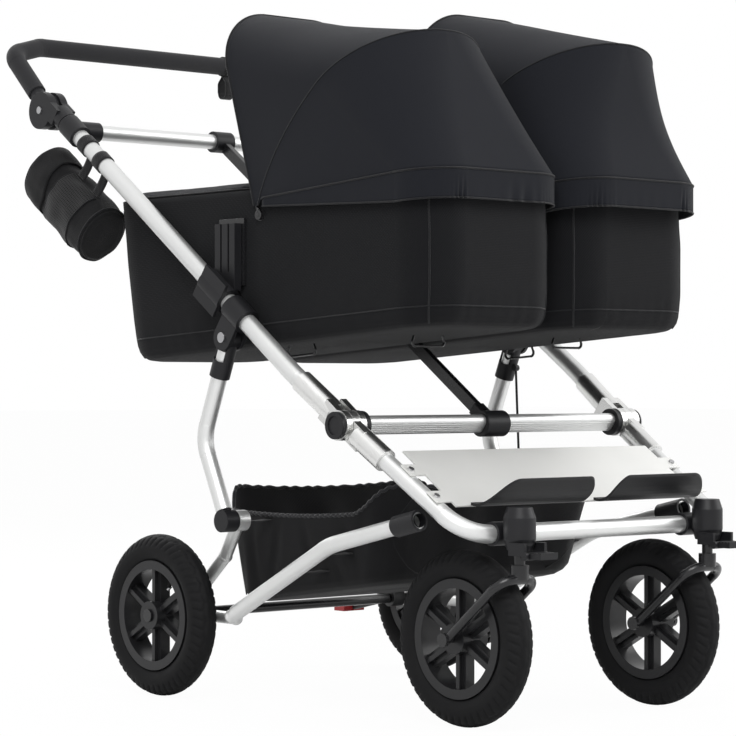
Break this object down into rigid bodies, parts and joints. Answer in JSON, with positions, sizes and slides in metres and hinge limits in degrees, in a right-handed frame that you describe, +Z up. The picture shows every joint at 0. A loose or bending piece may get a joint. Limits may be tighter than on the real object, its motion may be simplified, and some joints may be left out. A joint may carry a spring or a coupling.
{
  "type": "twin pram",
  "caption": "Side-by-side folding pram chassis on air tyres with swivel front forks, two hooded carrycots, an adjustable handle, a cloth basket and a bottle bag.",
  "frame": {"origin": "middle of the footprint on the floor", "axes": "front of the pram is -Y, +X is its left side, +Z up"},
  "size_m": [0.65, 1.2003, 1.084],
  "materials": {
    "satin_aluminium": "silver anodised, satin",
    "bright_aluminium": "brushed, bright",
    "black_plastic": "matt moulded black",
    "foam_grip": "dark grey foam, matt",
    "black_steel": "gloss black powder coat",
    "tyre_rubber": "matt rubber",
    "rim_plastic": "semi-gloss black",
    "canopy_fabric": "smooth charcoal weave",
    "cot_fabric": "black plain weave",
    "basket_fabric": "black nylon",
    "webbing": "ribbed webbing",
    "mattress_fabric": "pale cotton cover"
  },
  "bodies": {
    "push_frame": {"push_tube_left": "satin_aluminium", "push_tube_right": "satin_aluminium", "upper_hinge_sleeves": "bright_aluminium", "frame_pins": "bright_aluminium", "hinge_caps": "black_plastic", "front_crossbar": "satin_aluminium", "crossbar_fittings": "black_plastic", "centre_rail": "black_plastic", "rear_crossbar": "satin_aluminium", "leg_clamps": "black_plastic", "cot_adapters": "black_plastic", "handle_hubs": "black_plastic", "bottle_bag": "basket_fabric", "bag_straps": "webbing"},
    "handle": {"handle_tube": "black_plastic", "handle_grip": "foam_grip", "wrist_strap": "webbing"},
    "handle_button_left_body": {"handle_button_left": "black_plastic"},
    "handle_button_right_body": {"handle_button_right": "black_plastic"},
    "front_frame": {"front_tube": "satin_aluminium", "lower_hinge_sleeves": "bright_aluminium", "footplate": "satin_aluminium", "footplate_rivets": "bright_aluminium", "footrests": "black_plastic", "caster_posts": "black_plastic"},
    "swivel_lock_left_body": {"swivel_lock_left": "black_plastic"},
    "swivel_lock_right_body": {"swivel_lock_right": "black_plastic"},
    "caster_left": {"fork_left": "black_steel"},
    "caster_right": {"fork_right": "black_steel"},
    "front_wheel_left": {"front_tyre_left": "tyre_rubber", "front_rim_left": "rim_plastic"},
    "front_wheel_right": {"front_tyre_right": "tyre_rubber", "front_rim_right": "rim_plastic"},
    "rear_legs": {"rear_leg_left": "satin_aluminium", "rear_leg_right": "satin_aluminium", "leg_sleeves": "black_plastic", "lock_cable": "black_plastic"},
    "rear_frame": {"bottom_tubes": "satin_aluminium", "bottom_tube_clamps": "black_plastic", "lower_links": "satin_aluminium", "rear_axle": "black_steel", "basket": "basket_fabric", "basket_straps": "webbing"},
    "brake": {"brake_pedal": "black_plastic"},
    "rear_wheel_left": {"rear_tyre_left": "tyre_rubber", "rear_rim_left": "rim_plastic"},
    "rear_wheel_right": {"rear_tyre_right": "tyre_rubber", "rear_rim_right": "rim_plastic"},
    "cot_left": {"cot_tub_left": "cot_fabric", "cot_mattress_left": "mattress_fabric", "cot_apron_left": "canopy_fabric", "cot_fittings_left": "black_plastic", "canopy_left": "canopy_fabric"},
    "cot_right": {"cot_tub_right": "cot_fabric", "cot_mattress_right": "mattress_fabric", "cot_apron_right": "canopy_fabric", "cot_fittings_right": "black_plastic", "canopy_right": "canopy_fabric"},
    "canopy_frame_left": {"canopy_bow_left": "bright_aluminium"},
    "canopy_frame_right": {"canopy_bow_right": "bright_aluminium"}
  },
  "joints": [
    {"name": "fold", "type": "hinge", "parent": "push_frame", "child": "front_frame", "pos_m": [0, -0.282, 0.43], "axis": [1, 0, 0], "range_deg": [0, 80], "deforming": ["basket", "basket_straps"]},
    {"name": "leg_fold", "type": "hinge", "parent": "push_frame", "child": "rear_legs", "pos_m": [0, -0.02605, 0.56036], "axis": [1, 0, 0], "range_deg": [0, 60]},
    {"name": "rear_frame_fold", "type": "hinge", "parent": "rear_legs", "child": "rear_frame", "pos_m": [0, -0.02, 0.282], "axis": [1, 0, 0], "range_deg": [-38, 0]},
    {"name": "handle_angle", "type": "hinge", "parent": "push_frame", "child": "handle", "pos_m": [0, 0.45434, 0.94241], "axis": [1, 0, 0], "range_deg": [-45, 70]},
    {"name": "brake_press", "type": "hinge", "parent": "rear_frame", "child": "brake", "pos_m": [0, 0.164, 0.127], "axis": [1, 0, 0], "range_deg": [-18, 0]},
    {"name": "handle_button_left_press", "type": "slide", "parent": "push_frame", "child": "handle_button_left_body", "axis": [1, 0, 0], "range_m": [0, 0.004], "stiffness_N_per_m": 600},
    {"name": "caster_left_swivel", "type": "hinge", "parent": "front_frame", "child": "caster_left", "pos_m": [0.198, -0.54201, 0.2], "axis": [0, 0, 1], "continuous": true},
    {"name": "front_wheel_left_spin", "type": "hinge", "parent": "caster_left", "child": "front_wheel_left", "pos_m": [0.198, -0.43201, 0.127], "axis": [1, 0, 0], "continuous": true},
    {"name": "swivel_lock_left_flip", "type": "hinge", "parent": "front_frame", "child": "swivel_lock_left_body", "pos_m": [0.198, -0.57301, 0.251], "axis": [1, 0, 0], "range_deg": [-25, 0]},
    {"name": "rear_wheel_left_spin", "type": "hinge", "parent": "rear_frame", "child": "rear_wheel_left", "pos_m": [0.29, 0.164, 0.127], "axis": [1, 0, 0], "continuous": true},
    {"name": "cot_left_lift", "type": "slide", "parent": "push_frame", "child": "cot_left", "axis": [0, 0, 1], "range_m": [0, 0.35]},
    {"name": "canopy_left_fold", "type": "hinge", "parent": "cot_left", "child": "canopy_frame_left", "pos_m": [0.1465, -0.076, 0.745], "axis": [1, 0, 0], "range_deg": [0, 68], "deforming": ["canopy_left"]},
    {"name": "handle_button_right_press", "type": "slide", "parent": "push_frame", "child": "handle_button_right_body", "axis": [-1, 0, 0], "range_m": [0, 0.004], "stiffness_N_per_m": 600},
    {"name": "caster_right_swivel", "type": "hinge", "parent": "front_frame", "child": "caster_right", "pos_m": [-0.198, -0.54201, 0.2], "axis": [0, 0, 1], "continuous": true},
    {"name": "front_wheel_right_spin", "type": "hinge", "parent": "caster_right", "child": "front_wheel_right", "pos_m": [-0.198, -0.43201, 0.127], "axis": [1, 0, 0], "continuous": true},
    {"name": "swivel_lock_right_flip", "type": "hinge", "parent": "front_frame", "child": "swivel_lock_right_body", "pos_m": [-0.198, -0.57301, 0.251], "axis": [1, 0, 0], "range_deg": [-25, 0]},
    {"name": "rear_wheel_right_spin", "type": "hinge", "parent": "rear_frame", "child": "rear_wheel_right", "pos_m": [-0.29, 0.164, 0.127], "axis": [1, 0, 0], "continuous": true},
    {"name": "cot_right_lift", "type": "slide", "parent": "push_frame", "child": "cot_right", "axis": [0, 0, 1], "range_m": [0, 0.35]},
    {"name": "canopy_right_fold", "type": "hinge", "parent": "cot_right", "child": "canopy_frame_right", "pos_m": [-0.1465, -0.076, 0.745], "axis": [1, 0, 0], "range_deg": [0, 80], "deforming": ["canopy_right"]}
  ],
  "couplings": [
    {"joint": "leg_fold", "follows": "fold", "ratio": 0.6791},
    {"joint": "rear_frame_fold", "follows": "fold", "ratio": -0.4094}
  ]
}
